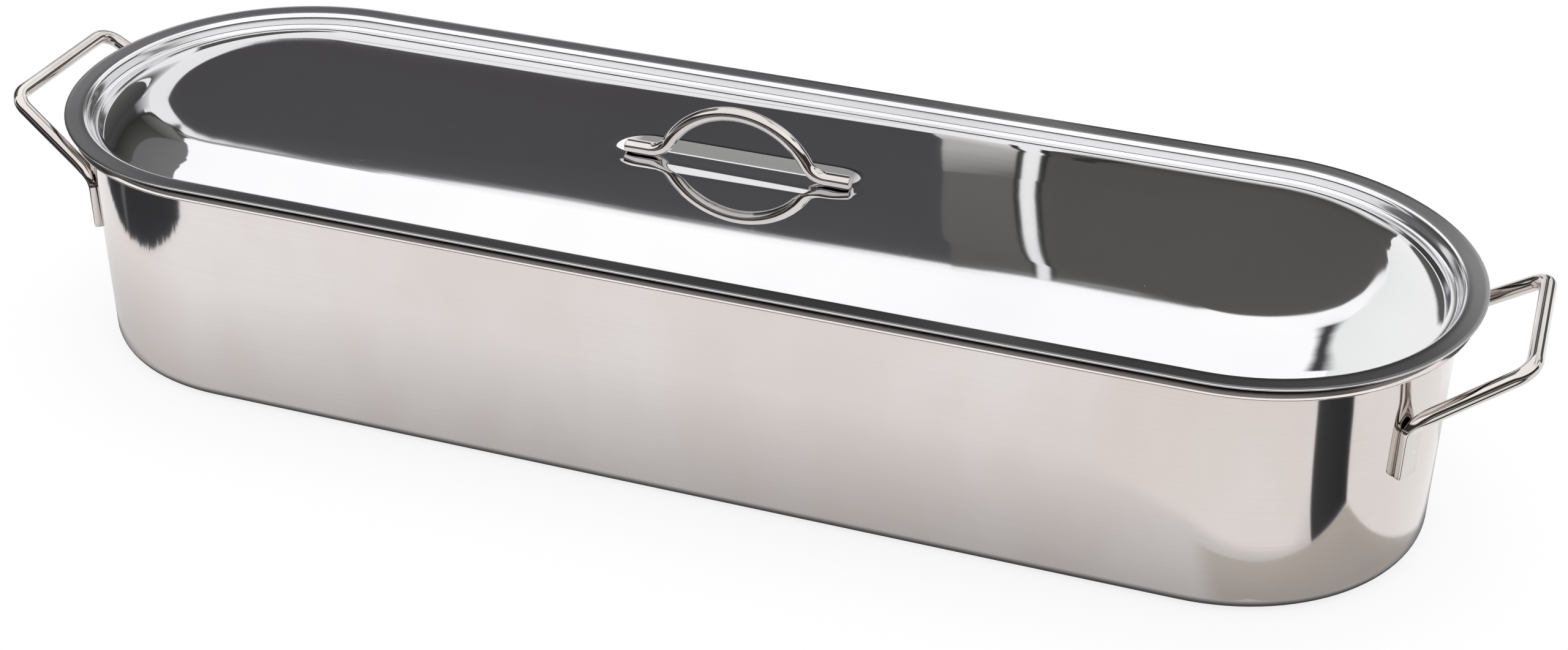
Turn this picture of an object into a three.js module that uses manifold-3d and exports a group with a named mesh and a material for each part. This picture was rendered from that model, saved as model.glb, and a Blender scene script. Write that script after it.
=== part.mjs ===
import * as THREE from 'three';
import { mergeGeometries, mergeVertices } from 'three/addons/utils/BufferGeometryUtils.js';
import Module from 'manifold-3d';

const wasm = await Module();
wasm.setup();

// Driving dimensions, in millimetres and degrees.
// The pan stands on z = 0, its long side lies along x, and its middle is at x = y = 0.
const seatGap = 0.3; // clearance left where one piece rests on another
const straightLength = 416; // straight stretch between the round ends of pan, lid and rack

// Pan: one deep drawn sheet with a rolled rim
const panSheet = 0.8;
const panWidth = 166; // across the outside walls, just under the rim
const panDraft = 0.5; // each wall stands this much further in at the base
const panHeight = 102.2;
const baseBend = 5; // bend radius between floor and wall
const mouthBend = 2.6; // bend radius between wall and rim
const rimReach = 7; // from the outside wall to the rim's outer edge
const rimRollRun = 2.2; // the outer edge of the rim rolls down over this width
const rimRollDrop = 1.9;
const rimRollBend = 3;

// Lid: one sheet with a flat flange, a groove that sits in the mouth, and a broad crown
const lidSheet = 0.8;
const lidOverhang = 2; // the lid reaches this far past the rim, all round
const flangeLift = 3; // open gap between the flange of the lid and the rim
const flangeBend = 2.6;
const grooveSlope = 58; // lean of the groove's outer wall from level
const grooveDepth = 5.6;
const grooveFloor = 3.3;
const grooveBend = 2.4;
const crownRise = 2.5; // the crown stands this much higher than the flange
const shoulderRun = 12;
const shoulderBend = 44;

// Sunken seat in the crown for the lid handle
const recessFloorWidth = 12;
const recessFootReach = 2.5; // each foot of the handle ends this far past the level floor
const recessSlopeRun = 9.5; // the floor rises to the crown over this width
const recessDepth = 0.7;

// Lid handle: one round rod, an arch between two flattened feet
const lidRod = 5.6; // rod diameter
const lidHandleLength = 97;
const lidHandleRise = 22; // from the middle of the feet to the middle of the arch's top
const lidArchRadius = 34;
const lidFootBend = 10;
const lidFootFlat = 0.8; // thickness of the foot as a share of the rod

// End handles: round rods whose ends are flattened into tabs on the end walls
const endRod = 6.3;
const endTabSpacing = 82; // between the middles of the two tabs
const endTabWidth = 11;
const endTabThickness = 3.2;
const endTabLength = 23; // from the tab's lower end to the bend where the rod leaves the wall
const endTabDrop = 28.2; // that bend lies this far below the pan's top
const endTabBend = 8;
const endBarStandOff = 20; // from the end of the lid to the middle of the bar
const endBarDrop = 0.6; // the bar's middle lies this far below the pan's top
const endBarLength = 71; // between the bends' corners
const endBarBend = 8;

// Lift-out rack: a perforated tray with a turned-down edge and two upright handles
const rackSheet = 0.8;
const rackClearance = 8; // from the pan's outside wall to the rack's edge
const rackHeight = 11; // from its lower edge to its upper face
const rackEdgeBend = 2.5;
const holeDiameter = 10;
const holePitch = 26; // along a row
const rowPitch = 22; // from row to row
const rowCount = 5;
const holeMargin = 9; // least metal between a hole and the bend of the edge

const rackRod = 4.4;
const rackHandleInset = 58; // from the end of the rack to the handle
const rackHandleWidth = 60; // between the middles of its legs
const rackHandleDrop = 7.2; // the middle of the bar lies this far below the pan's top
const rackHandleBend = 9;
const rackFootLength = 15;
const rackFootWidth = 9;
const rackFootThickness = 2;
const rackFootBend = 4;

const rivetShank = 4;
const rivetHead = 7.4;
const rivetHeadHeight = 1.6;

// Facet counts
const roundSteps = 44; // around a full turn of an obround outline
const rodSides = 10;
const bendSteps = 4;
const crownSteps = 6;
const archSteps = 9; // from the reverse bend to the top of the lid handle's arch
const holeSides = 8;
const rivetSides = 10;

const polished = { color: 0xc9c9cb, roughness: 0.12, metalness: 1 };
const brushed = { color: 0xd2cecc, roughness: 0.3, metalness: 1 };
const wire = { color: 0xbdbbbd, roughness: 0.16, metalness: 1 };
const satin = { color: 0xb9b9ba, roughness: 0.36, metalness: 1 };

const radians = THREE.MathUtils.degToRad;

// A line through corners, each turned by an arc of its own radius. Where two arcs would
// meet on a short side, both tangent lengths shrink in proportion until they fit.
function roundedLine(corners) {
  const count = corners.length;
  const points = corners.map((corner) => corner.at);
  const tangents = corners.map((corner, i) => {
    if (!corner.radius || i === 0 || i === count - 1) return 0;
    const back = points[i - 1].clone().sub(points[i]);
    const ahead = points[i + 1].clone().sub(points[i]);
    return corner.radius / Math.tan(back.angleTo(ahead) / 2);
  });
  const shares = new Array(count).fill(1);
  for (let i = 0; i < count - 1; i++) {
    const needed = tangents[i] + tangents[i + 1];
    const share = Math.min(1, (0.98 * points[i].distanceTo(points[i + 1])) / Math.max(needed, 1e-9));
    shares[i] = Math.min(shares[i], share);
    shares[i + 1] = Math.min(shares[i + 1], share);
  }
  const line = [];
  corners.forEach((corner, i) => {
    const tangent = tangents[i] * shares[i];
    if (tangent === 0) {
      line.push(points[i].clone());
      return;
    }
    const back = points[i - 1].clone().sub(points[i]).normalize();
    const ahead = points[i + 1].clone().sub(points[i]).normalize();
    const half = back.angleTo(ahead) / 2;
    const turn = Math.PI - 2 * half;
    const middle = back.clone().add(ahead).normalize();
    const centre = points[i].clone().addScaledVector(middle, tangent / Math.cos(half));
    const from = points[i].clone().addScaledVector(back, tangent).sub(centre);
    const to = points[i].clone().addScaledVector(ahead, tangent).sub(centre);
    const steps = corner.steps ?? bendSteps;
    for (let k = 0; k <= steps; k++) {
      const angle = (turn * k) / steps;
      const spoke = from.clone().multiplyScalar(Math.sin(turn - angle) / Math.sin(turn));
      spoke.addScaledVector(to, Math.sin(angle) / Math.sin(turn));
      line.push(centre.clone().add(spoke));
    }
  });
  return line;
}

const corner = (r, z, radius = 0, steps = bendSteps) => ({ at: new THREE.Vector3(r, z, 0), radius, steps });

// The closed section of a sheet whose middle follows a line from the axis outwards:
// out along its right-hand side, which is the lower and outer one, and back along the other.
function sheetSection(line, thickness) {
  const below = [];
  const above = [];
  line.forEach((point, i) => {
    const next = line[Math.min(i + 1, line.length - 1)];
    const last = line[Math.max(i - 1, 0)];
    const along = next.clone().sub(last).normalize();
    const across = new THREE.Vector2(along.y, -along.x).multiplyScalar(thickness / 2);
    below.push(new THREE.Vector2(point.x + across.x, point.y + across.y));
    above.push(new THREE.Vector2(point.x - across.x, point.y - across.y));
  });
  return [...below, ...above.reverse()];
}

// Merges equal vertices and drops triangles that have no area.
function tidied(geometry) {
  const bare = geometry.clone();
  bare.deleteAttribute('normal');
  bare.deleteAttribute('uv');
  const merged = mergeVertices(bare);
  const kept = [];
  const index = merged.index.array;
  for (let i = 0; i < index.length; i += 3) {
    const [a, b, c] = [index[i], index[i + 1], index[i + 2]];
    if (a !== b && b !== c && c !== a) kept.push(a, b, c);
  }
  merged.setIndex(kept);
  return merged;
}

// A section turned about the z axis, then parted at x = 0 and drawn out to an obround.
// The polygon is set round the circle, so that its flat sides give the true width.
function obround(section, straight) {
  const start = Math.PI / roundSteps;
  const lathe = new THREE.LatheGeometry(section, roundSteps, start, 2 * Math.PI);
  const position = lathe.attributes.position;
  for (let i = 0; i < position.count; i++) {
    const turn = start + (2 * Math.PI * Math.floor(i / section.length)) / roundSteps;
    const side = Math.sin(turn) > 0 ? 1 : -1;
    position.setX(i, position.getX(i) / Math.cos(start) + (side * straight) / 2);
    position.setZ(i, position.getZ(i) / Math.cos(start));
  }
  lathe.rotateX(Math.PI / 2);
  return tidied(lathe);
}

function toSolid(geometry) {
  const merged = tidied(geometry);
  const vertProperties = new Float32Array(merged.attributes.position.array);
  const triVerts = new Uint32Array(merged.index.array);
  return new wasm.Manifold(new wasm.Mesh({ numProp: 3, vertProperties, triVerts }));
}

function fromSolid(solid) {
  const mesh = solid.getMesh();
  const geometry = new THREE.BufferGeometry();
  geometry.setAttribute('position', new THREE.BufferAttribute(mesh.vertProperties, 3));
  geometry.setIndex(new THREE.BufferAttribute(mesh.triVerts, 1));
  return geometry;
}

// The outline of a rod's section: an ellipse at squareness 2, nearer a rectangle above it.
function sectionPoint(angle, halfWidth, halfDepth, squareness) {
  const bulge = (value) => Math.sign(value) * Math.abs(value) ** (2 / squareness);
  return [halfWidth * bulge(Math.cos(angle)), halfDepth * bulge(Math.sin(angle))];
}

// Half of a bent rod, from its end to the plane that mirrors it, and then its mirror image.
// The width direction is carried along the line without twist.
function mirroredRod(line, firstWidth, shapeAt, axis) {
  const rings = [];
  const width = firstWidth.clone();
  let travelled = 0;
  line.forEach((point, i) => {
    const next = line[Math.min(i + 1, line.length - 1)];
    const last = line[Math.max(i - 1, 0)];
    const along = next.clone().sub(last).normalize();
    if (i === line.length - 1) along.copy(axis);
    width.addScaledVector(along, -width.dot(along)).normalize();
    const depth = along.clone().cross(width);
    travelled += point.distanceTo(last);
    const shape = shapeAt(travelled);
    const ring = [];
    for (let k = 0; k < rodSides; k++) {
      const angle = (2 * Math.PI * (k + 0.5)) / rodSides;
      const [w, d] = sectionPoint(angle, shape.halfWidth, shape.halfDepth, shape.squareness);
      ring.push(point.clone().addScaledVector(width, w).addScaledVector(depth, d));
    }
    rings.push(ring);
  });
  const mirror = new THREE.Vector3(1, 1, 1).sub(axis.clone().multiply(axis).multiplyScalar(2));
  const images = rings.slice(0, -1).map((ring) => ring.map((point) => point.clone().multiply(mirror)));
  return ringSolid([...rings, ...images.reverse()]);
}

// A closed skin over a row of rings, with a flat cap at both ends.
function ringSolid(rings) {
  const sides = rings[0].length;
  const index = [];
  for (let i = 0; i < rings.length - 1; i++) {
    for (let k = 0; k < sides; k++) {
      const here = i * sides + k;
      const beside = i * sides + ((k + 1) % sides);
      index.push(here, beside, beside + sides, here, beside + sides, here + sides);
    }
  }
  const last = (rings.length - 1) * sides;
  for (let k = 1; k < sides - 1; k++) {
    index.push(0, k + 1, k, last, last + k, last + k + 1);
  }
  const geometry = new THREE.BufferGeometry().setFromPoints(rings.flat());
  geometry.setIndex(index);
  return geometry;
}

// A rod that is flat for a first stretch and round after a second one.
function flattenedEnd(rod, flat, flatLength, easeLength) {
  return (travelled) => {
    const ease = THREE.MathUtils.smoothstep(travelled, flatLength, flatLength + easeLength);
    return {
      halfWidth: THREE.MathUtils.lerp(flat.width, rod, ease) / 2,
      halfDepth: THREE.MathUtils.lerp(flat.thickness, rod, ease) / 2,
      squareness: THREE.MathUtils.lerp(flat.squareness, 2, ease),
    };
  };
}

const part = new THREE.Group();

function addPiece(name, geometry, finish) {
  geometry.computeVertexNormals();
  const piece = new THREE.Mesh(geometry, new THREE.MeshStandardMaterial(finish));
  piece.name = name;
  part.add(piece);
  return piece;
}

// Pan
const panMouthRadius = (panWidth - panSheet) / 2;
const panRimLevel = panHeight - panSheet / 2;
const rimWidth = panWidth + 2 * rimReach;
const rimRadius = rimWidth / 2 - panSheet / 2;

function panSection() {
  const line = roundedLine([
    corner(0, panSheet / 2),
    corner(panMouthRadius - panDraft, panSheet / 2, baseBend),
    corner(panMouthRadius, panRimLevel, mouthBend),
    corner(rimRadius - rimRollRun, panRimLevel, rimRollBend),
    corner(rimRadius, panRimLevel - rimRollDrop),
  ]);
  return sheetSection(line, panSheet);
}

addPiece('pan_shell', obround(panSection(), straightLength), brushed);

// Lid. The groove's outer wall leans on the round of the mouth, one seat gap away from it.
const lidWidth = rimWidth + 2 * lidOverhang;
const flangeLevel = panHeight + flangeLift + lidSheet / 2;
const crownLevel = flangeLevel + crownRise;
const crownTop = crownLevel + lidSheet / 2;
const grooveLevel = flangeLevel - grooveDepth;

function lidSection() {
  const lean = radians(grooveSlope);
  const mouthCentre = new THREE.Vector2(panMouthRadius + mouthBend, panRimLevel - mouthBend);
  const reach = mouthBend + panSheet / 2 + seatGap + lidSheet / 2;
  const touch = new THREE.Vector2(mouthCentre.x - reach * Math.sin(lean), mouthCentre.y + reach * Math.cos(lean));
  const wallAt = (level) => touch.x + (level - touch.y) / Math.tan(lean);
  const floorEdge = wallAt(grooveLevel) - grooveFloor;
  const line = roundedLine([
    corner(0, crownLevel),
    corner(floorEdge - shoulderRun, crownLevel, shoulderBend, crownSteps),
    corner(floorEdge, grooveLevel, grooveBend, 2),
    corner(wallAt(grooveLevel), grooveLevel, grooveBend, 3),
    corner(wallAt(flangeLevel), flangeLevel, flangeBend, 3),
    corner(lidWidth / 2, flangeLevel),
  ]);
  return sheetSection(line, lidSheet);
}

const recessStraight = lidHandleLength - 2 * recessFootReach - recessFloorWidth;
const recessLevel = crownTop - recessDepth; // upper face of the recess floor

// The bowl of the recess: level below, and sloping out to its full width at the crown.
function recessBowl(floorLevel, growth, topLevel) {
  const slope = recessSlopeRun / recessDepth;
  const floorRadius = recessFloorWidth / 2 + growth;
  const section = [
    new THREE.Vector2(0, floorLevel),
    new THREE.Vector2(floorRadius, floorLevel),
    new THREE.Vector2(floorRadius + slope * (topLevel - floorLevel), topLevel),
    new THREE.Vector2(0, topLevel),
  ];
  return toSolid(obround(section, recessStraight));
}

const sheet = toSolid(obround(lidSection(), straightLength));
const bowlBelow = recessBowl(recessLevel - lidSheet, lidSheet / 4, crownLevel);
const bowlAbove = recessBowl(recessLevel, 0, crownTop + lidSheet);
addPiece('lid_shell', fromSolid(sheet.add(bowlBelow).subtract(bowlAbove)), polished);

// Lid handle: a foot, a small reverse bend and half of the arch, mirrored at the top.
const lidFootThickness = lidRod * lidFootFlat;
const lidFootLevel = recessLevel + seatGap + lidFootThickness / 2;

function lidHandleLine() {
  const archCentre = lidFootLevel + lidHandleRise - lidArchRadius;
  const joined = lidArchRadius + lidFootBend;
  const lift = lidFootLevel + lidFootBend - archCentre;
  const footEnd = Math.sqrt(joined ** 2 - lift ** 2);
  const lean = Math.asin(footEnd / joined);
  const line = [new THREE.Vector3(-lidHandleLength / 2, 0, lidFootLevel)];
  for (let k = 0; k <= bendSteps; k++) {
    const angle = (lean * k) / bendSteps;
    const x = -footEnd + lidFootBend * Math.sin(angle);
    line.push(new THREE.Vector3(x, 0, lidFootLevel + lidFootBend * (1 - Math.cos(angle))));
  }
  for (let k = 1; k <= archSteps; k++) {
    const angle = lean * (1 - k / archSteps);
    line.push(new THREE.Vector3(-lidArchRadius * Math.sin(angle), 0, archCentre + lidArchRadius * Math.cos(angle)));
  }
  return line;
}

const lidHandleFlat = { width: lidRod * 1.15, thickness: lidFootThickness, squareness: 3 };
const lidFootLength = (lidHandleLength - 2 * lidArchRadius) / 2;
addPiece(
  'lid_handle',
  mirroredRod(
    lidHandleLine(),
    new THREE.Vector3(0, 1, 0),
    flattenedEnd(lidRod, lidHandleFlat, lidFootLength * 0.7, lidFootLength * 0.6),
    new THREE.Vector3(1, 0, 0),
  ),
  wire,
);

// End handles. A tab lies on the round end wall, square to the wall's own direction.
const endTabTop = panHeight - endTabDrop;
const endTabFoot = endTabTop - endTabLength;
const endBarReach = (straightLength + lidWidth) / 2 + endBarStandOff;
const endBarHeight = panHeight - endBarDrop;

function endHandle() {
  const wallRadius = panWidth / 2;
  const tabSide = endTabSpacing / 2;
  const wallTurn = Math.asin(tabSide / wallRadius);
  const stand = wallRadius + seatGap + endTabThickness / 2;
  const tabX = straightLength / 2 + stand * Math.cos(wallTurn);
  const tabY = -stand * Math.sin(wallTurn);
  const line = roundedLine([
    { at: new THREE.Vector3(tabX, tabY, endTabFoot) },
    { at: new THREE.Vector3(tabX, tabY, endTabTop), radius: endTabBend },
    { at: new THREE.Vector3(endBarReach, -endBarLength / 2, endBarHeight), radius: endBarBend },
    { at: new THREE.Vector3(endBarReach, 0, endBarHeight) },
  ]);
  const tab = { width: endTabWidth, thickness: endTabThickness, squareness: 5 };
  const wallDirection = new THREE.Vector3(Math.sin(wallTurn), Math.cos(wallTurn), 0);
  const shape = flattenedEnd(endRod, tab, endTabLength * 0.78, endTabLength * 0.5);
  return mirroredRod(line, wallDirection, shape, new THREE.Vector3(0, 1, 0));
}

addPiece('end_handle_right', endHandle(), wire);
addPiece('end_handle_left', endHandle(), wire).rotation.z = Math.PI;

// Rack
const rackWidth = panWidth - 2 * rackClearance;
const rackFoot = panSheet + seatGap; // the turned-down edge stands on the pan's floor
const rackTop = rackFoot + rackHeight;
const rackLevel = rackTop - rackSheet / 2;

function column(radius, from, to, sides) {
  const geometry = new THREE.CylinderGeometry(radius, radius, to - from, sides);
  geometry.rotateX(Math.PI / 2);
  geometry.translate(0, 0, (from + to) / 2);
  return geometry;
}

// Corners of the rack handles, one foot at each.
const rackHandleX = (straightLength + rackWidth) / 2 - rackHandleInset;
const rackFeet = [];
for (const end of [-1, 1]) {
  for (const side of [-1, 1]) {
    rackFeet.push({ end, side, x: end * rackHandleX, y: (side * rackHandleWidth) / 2 });
  }
}
const rivetAt = (foot) => ({ x: foot.x + foot.end * rackFootLength * 0.62, y: foot.y });

function rackHoles() {
  const holes = [];
  const reach = rackWidth / 2 - rackEdgeBend - holeMargin - holeDiameter / 2;
  const keepOff = (holeDiameter + rackFootWidth) / 2 + 1;
  for (let row = 0; row < rowCount; row++) {
    const y = (row - (rowCount - 1) / 2) * rowPitch;
    const shift = row % 2 === 0 ? 0 : holePitch / 2;
    const span = Math.ceil((straightLength / 2 + reach) / holePitch);
    for (let i = -span; i <= span; i++) {
      const x = i * holePitch + shift;
      const past = Math.max(0, Math.abs(x) - straightLength / 2);
      const underFoot = rackFeet.some((foot) => {
        const along = (x - foot.x) * foot.end;
        const onPad = along > -keepOff && along < rackFootLength + keepOff;
        return onPad && Math.abs(y - foot.y) < keepOff;
      });
      if (Math.hypot(past, y) <= reach && !underFoot) {
        holes.push(column(holeDiameter / 2, rackFoot, rackTop + rackSheet, holeSides).translate(x, y, 0));
      }
    }
  }
  return holes;
}

const rivetHole = rivetShank / 2 + seatGap;

function rackPlate() {
  const radius = (rackWidth - rackSheet) / 2;
  const line = roundedLine([
    corner(0, rackLevel),
    corner(radius, rackLevel, rackEdgeBend, 3),
    corner(radius, rackFoot),
  ]);
  const holes = rackHoles();
  for (const foot of rackFeet) {
    const { x, y } = rivetAt(foot);
    holes.push(column(rivetHole, rackFoot, rackTop + rackSheet, rivetSides).translate(x, y, 0));
  }
  const tray = toSolid(obround(sheetSection(line, rackSheet), straightLength));
  return fromSolid(tray.subtract(toSolid(mergeGeometries(holes.map(tidied)))));
}

addPiece('rack_plate', rackPlate(), satin);

// Rack handles: a flat foot on the plate, a leg, and half of the bar, then the mirror image.
const rackFootLevel = rackTop + seatGap + rackFootThickness / 2;
const rackHandleTop = panHeight - rackHandleDrop;

function rackHandle() {
  const legY = -rackHandleWidth / 2;
  const line = roundedLine([
    { at: new THREE.Vector3(rackHandleX + rackFootLength, legY, rackFootLevel) },
    { at: new THREE.Vector3(rackHandleX, legY, rackFootLevel), radius: rackFootBend },
    { at: new THREE.Vector3(rackHandleX, legY, rackHandleTop), radius: rackHandleBend },
    { at: new THREE.Vector3(rackHandleX, 0, rackHandleTop) },
  ]);
  const foot = { width: rackFootWidth, thickness: rackFootThickness, squareness: 5 };
  const shape = flattenedEnd(rackRod, foot, rackFootLength - rackFootBend, rackFootBend * 1.5);
  const bent = toSolid(mirroredRod(line, new THREE.Vector3(0, 1, 0), shape, new THREE.Vector3(0, 1, 0)));
  const cuts = rackFeet.filter((spot) => spot.end === 1).map((spot) => {
    const { x, y } = rivetAt(spot);
    return column(rivetHole, rackTop, rackTop + rackRod, rivetSides).translate(x, y, 0);
  });
  return fromSolid(bent.subtract(toSolid(mergeGeometries(cuts.map(tidied)))));
}

addPiece('rack_handle_right', rackHandle(), wire);
addPiece('rack_handle_left', rackHandle(), wire).rotation.z = Math.PI;

// Rivets: a low domed head on the foot, a shank, and a flat closing head under the plate.
function rivetBody() {
  const headSeat = rackFootLevel + rackFootThickness / 2 + seatGap;
  const tailSeat = rackTop - rackSheet - seatGap;
  const section = [
    new THREE.Vector2(0, tailSeat - rivetHeadHeight * 0.6),
    new THREE.Vector2(rivetHead * 0.42, tailSeat - rivetHeadHeight * 0.6),
    new THREE.Vector2(rivetHead * 0.42, tailSeat),
    new THREE.Vector2(rivetShank / 2, tailSeat),
    new THREE.Vector2(rivetShank / 2, headSeat),
    new THREE.Vector2(rivetHead / 2, headSeat),
    new THREE.Vector2(rivetHead * 0.44, headSeat + rivetHeadHeight * 0.55),
    new THREE.Vector2(rivetHead * 0.25, headSeat + rivetHeadHeight * 0.9),
    new THREE.Vector2(0, headSeat + rivetHeadHeight),
  ];
  return tidied(new THREE.LatheGeometry(section, rivetSides).rotateX(Math.PI / 2));
}

rackFeet.forEach((foot, i) => {
  const { x, y } = rivetAt(foot);
  addPiece(`rack_rivet_${i + 1}`, rivetBody(), satin).position.set(x, y, 0);
});

export default part;
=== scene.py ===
import math
import bmesh
import bpy
import numpy as np
from mathutils import Matrix, Vector, geometry


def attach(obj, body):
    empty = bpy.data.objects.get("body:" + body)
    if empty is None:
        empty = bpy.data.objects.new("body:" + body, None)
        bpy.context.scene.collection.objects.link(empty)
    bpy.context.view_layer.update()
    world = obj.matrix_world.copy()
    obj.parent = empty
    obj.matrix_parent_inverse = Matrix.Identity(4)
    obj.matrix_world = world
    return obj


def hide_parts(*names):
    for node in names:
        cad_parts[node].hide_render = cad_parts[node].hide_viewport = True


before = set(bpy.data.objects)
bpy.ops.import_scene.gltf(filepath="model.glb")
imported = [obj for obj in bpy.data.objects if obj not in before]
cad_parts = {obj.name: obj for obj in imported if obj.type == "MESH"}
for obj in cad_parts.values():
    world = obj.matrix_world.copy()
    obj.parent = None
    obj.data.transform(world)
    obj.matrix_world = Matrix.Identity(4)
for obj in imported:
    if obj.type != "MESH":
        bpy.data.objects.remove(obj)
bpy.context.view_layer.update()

# All sizes below are in millimetres and the meshes are made in metres. The pan stands on z = 0, its long side
# lies along x, and length is the straight stretch between its round ends. Around counts the steps on both
# round ends, straightCuts those on a straight side, and seatGap is the room where pieces rest on each other.
# UV is measured round an outline of the radius uvRadius, or round a rod whose girth counts as rodGirth.
mm = 0.001
plan = dict(length=416.0, around=112, straightCuts=26, seatGap=0.3, edgeSteps=7, uvRadius=80.0, rodGirth=18.0)


def lineThrough(corners):
    # A line through corners (..., bend radius, steps). A corner becomes an arc about its centre c:
    # c + first * sin(turn - t) / sin(turn) + last * sin(t) / sin(turn). Arcs that would meet shrink alike.
    at = np.array([c[:-2] for c in corners], float)
    unit = np.diff(at, axis=0)
    reach = np.linalg.norm(unit, axis=1)
    unit /= reach[:, None]
    half = np.full(len(at), math.pi / 2)
    half[1:-1] = np.arccos(np.clip((-unit[:-1] * unit[1:]).sum(1), -1, 1)) / 2
    tangent = np.array([c[-2] for c in corners], float) / np.tan(half)
    tangent[[0, -1]] = 0
    fits = np.minimum(1, 0.98 * reach / np.maximum(tangent[:-1] + tangent[1:], 1e-9))
    share = np.minimum(np.append(fits, 1), np.insert(fits, 0, 1))
    parts = []
    for i, c in enumerate(corners):
        if tangent[i] < 1e-6:
            parts.append(at[i:i + 1])
            continue
        back, ahead, turn = -unit[i - 1], unit[i], math.pi - 2 * half[i]
        middle = (back + ahead) / np.linalg.norm(back + ahead)
        centre = at[i] + middle * tangent[i] * share[i] / math.cos(half[i])
        first, last = (at[i] + way * tangent[i] * share[i] - centre for way in (back, ahead))
        t = np.linspace(0, turn, int(c[-1]) + 1)[:, None]
        parts.append(centre + (first * np.sin(turn - t) + last * np.sin(t)) / math.sin(turn))
    return np.concatenate(parts)


def evenly(line, spacing):
    # The same line with points added, so that no step is longer than spacing.
    step = np.linalg.norm(np.diff(line, axis=0), axis=1)
    cuts = np.maximum(1, np.ceil(step / spacing)).astype(int)
    parts = [np.linspace(a, b, n, endpoint=False) for a, b, n in zip(line[:-1], line[1:], cuts)]
    return np.concatenate(parts + [line[-1:]])


def travelled(line):
    # The way along a line up to each of its points.
    return np.concatenate([[0], np.cumsum(np.linalg.norm(np.diff(line, axis=0), axis=1))])


def eased(t):
    # A rise from 0 to 1 with level ends: t^2 * (3 - 2 t), with t kept between 0 and 1.
    t = np.clip(t, 0, 1)
    return t * t * (3 - 2 * t)


def sheetProfile(line, thickness):
    # The outline of a sheet: its middle line moved half a thickness to the right, a half round over
    # the cut edge, and the line moved to the left on the way back.
    along = np.gradient(line, axis=0)
    along /= np.linalg.norm(along, axis=1)[:, None]
    right = np.stack([along[:, 1], -along[:, 0]], 1) * thickness / 2
    rounded = line.copy()
    rounded[-1] -= along[-1] * thickness / 2
    t = np.linspace(0, math.pi, plan["edgeSteps"] + 2)[1:-1, None]
    edge = rounded[-1] + right[-1] * np.cos(t) + along[-1] * np.sin(t) * thickness / 2
    return np.concatenate([rounded + right, edge, (rounded - right)[::-1]])


def newMesh(name, points, faces, uv):
    # Points in millimetres and faces as lists of their numbers. Doubles are merged, so seams and poles close.
    mesh = bpy.data.meshes.new(name)
    faces = faces if isinstance(faces, list) else faces.tolist()
    mesh.from_pydata((points * mm).tolist(), [], faces)
    mesh.uv_layers.new(name="alongAndAcross").data.foreach_set("uv", np.asarray(uv, np.float32).ravel())
    made = bmesh.new()
    made.from_mesh(mesh)
    bmesh.ops.remove_doubles(made, verts=made.verts, dist=2e-7)
    bmesh.ops.dissolve_degenerate(made, edges=made.edges, dist=1e-8)
    bmesh.ops.recalc_face_normals(made, faces=made.faces)
    made.to_mesh(mesh)
    made.free()
    mesh.shade_smooth()
    return mesh


def gridFaces(around, along):
    # Quads of a grid whose points are numbered row by row and whose last column joins the first, with a UV
    # at each corner, in metres: around is the way round at each column and along the way at each row.
    columns = len(around) - 1
    i, j = (a.ravel() for a in np.meshgrid(np.arange(len(along) - 1), np.arange(columns), indexing="ij"))
    k = (j + 1) % columns
    low, high = i * columns, (i + 1) * columns
    u, v = around[np.stack([j, j + 1, j + 1, j], -1)], along[np.stack([i, i, i + 1, i + 1], -1)]
    return np.stack([low + j, low + k, high + k, high + j], -1), np.stack([u, v], -1) * mm


def obroundGrid(profile, lengths):
    # A profile (radius, height) carried round an obround: x = place * length / 2 + radius * cos(angle) and
    # y = radius * sin(angle), where place runs from 1 to -1 along the straight sides and stays there on the
    # ends. Lengths is one length, or one for each point of the profile.
    half = np.linspace(-math.pi / 2, math.pi / 2, plan["around"] // 2 + 1)
    side = np.linspace(1, -1, plan["straightCuts"] + 1)[1:-1]
    angle = np.concatenate([half, side * 0 + math.pi / 2, half + math.pi, side * 0 - math.pi / 2])
    place = np.concatenate([half * 0 + 1, side, half * 0 - 1, -side])
    x = place * np.broadcast_to(lengths, len(profile))[:, None] / 2 + profile[:, :1] * np.cos(angle)
    points = np.stack([x, profile[:, :1] * np.sin(angle), profile[:, 1:] + 0 * angle], -1).reshape(-1, 3)
    outline = plan["uvRadius"] * np.stack([np.cos(angle), np.sin(angle)], 1)
    outline[:, 0] += place * plan["length"] / 2
    return points, *gridFaces(travelled(np.vstack([outline, outline[:1]])), travelled(profile))


def turnedGrid(profile, sides, uvStep=1.0):
    # A profile (radius, height) turned about z: x = radius * cos(angle) and y = radius * sin(angle).
    angle = 2 * math.pi * np.arange(sides) / sides
    x, y = profile[:, :1] * np.cos(angle), profile[:, :1] * np.sin(angle)
    points = np.stack([x, y, profile[:, 1:] + 0 * angle], -1).reshape(-1, 3)
    return points, *gridFaces(uvStep * np.arange(sides + 1), uvStep * np.arange(len(profile)))


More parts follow.
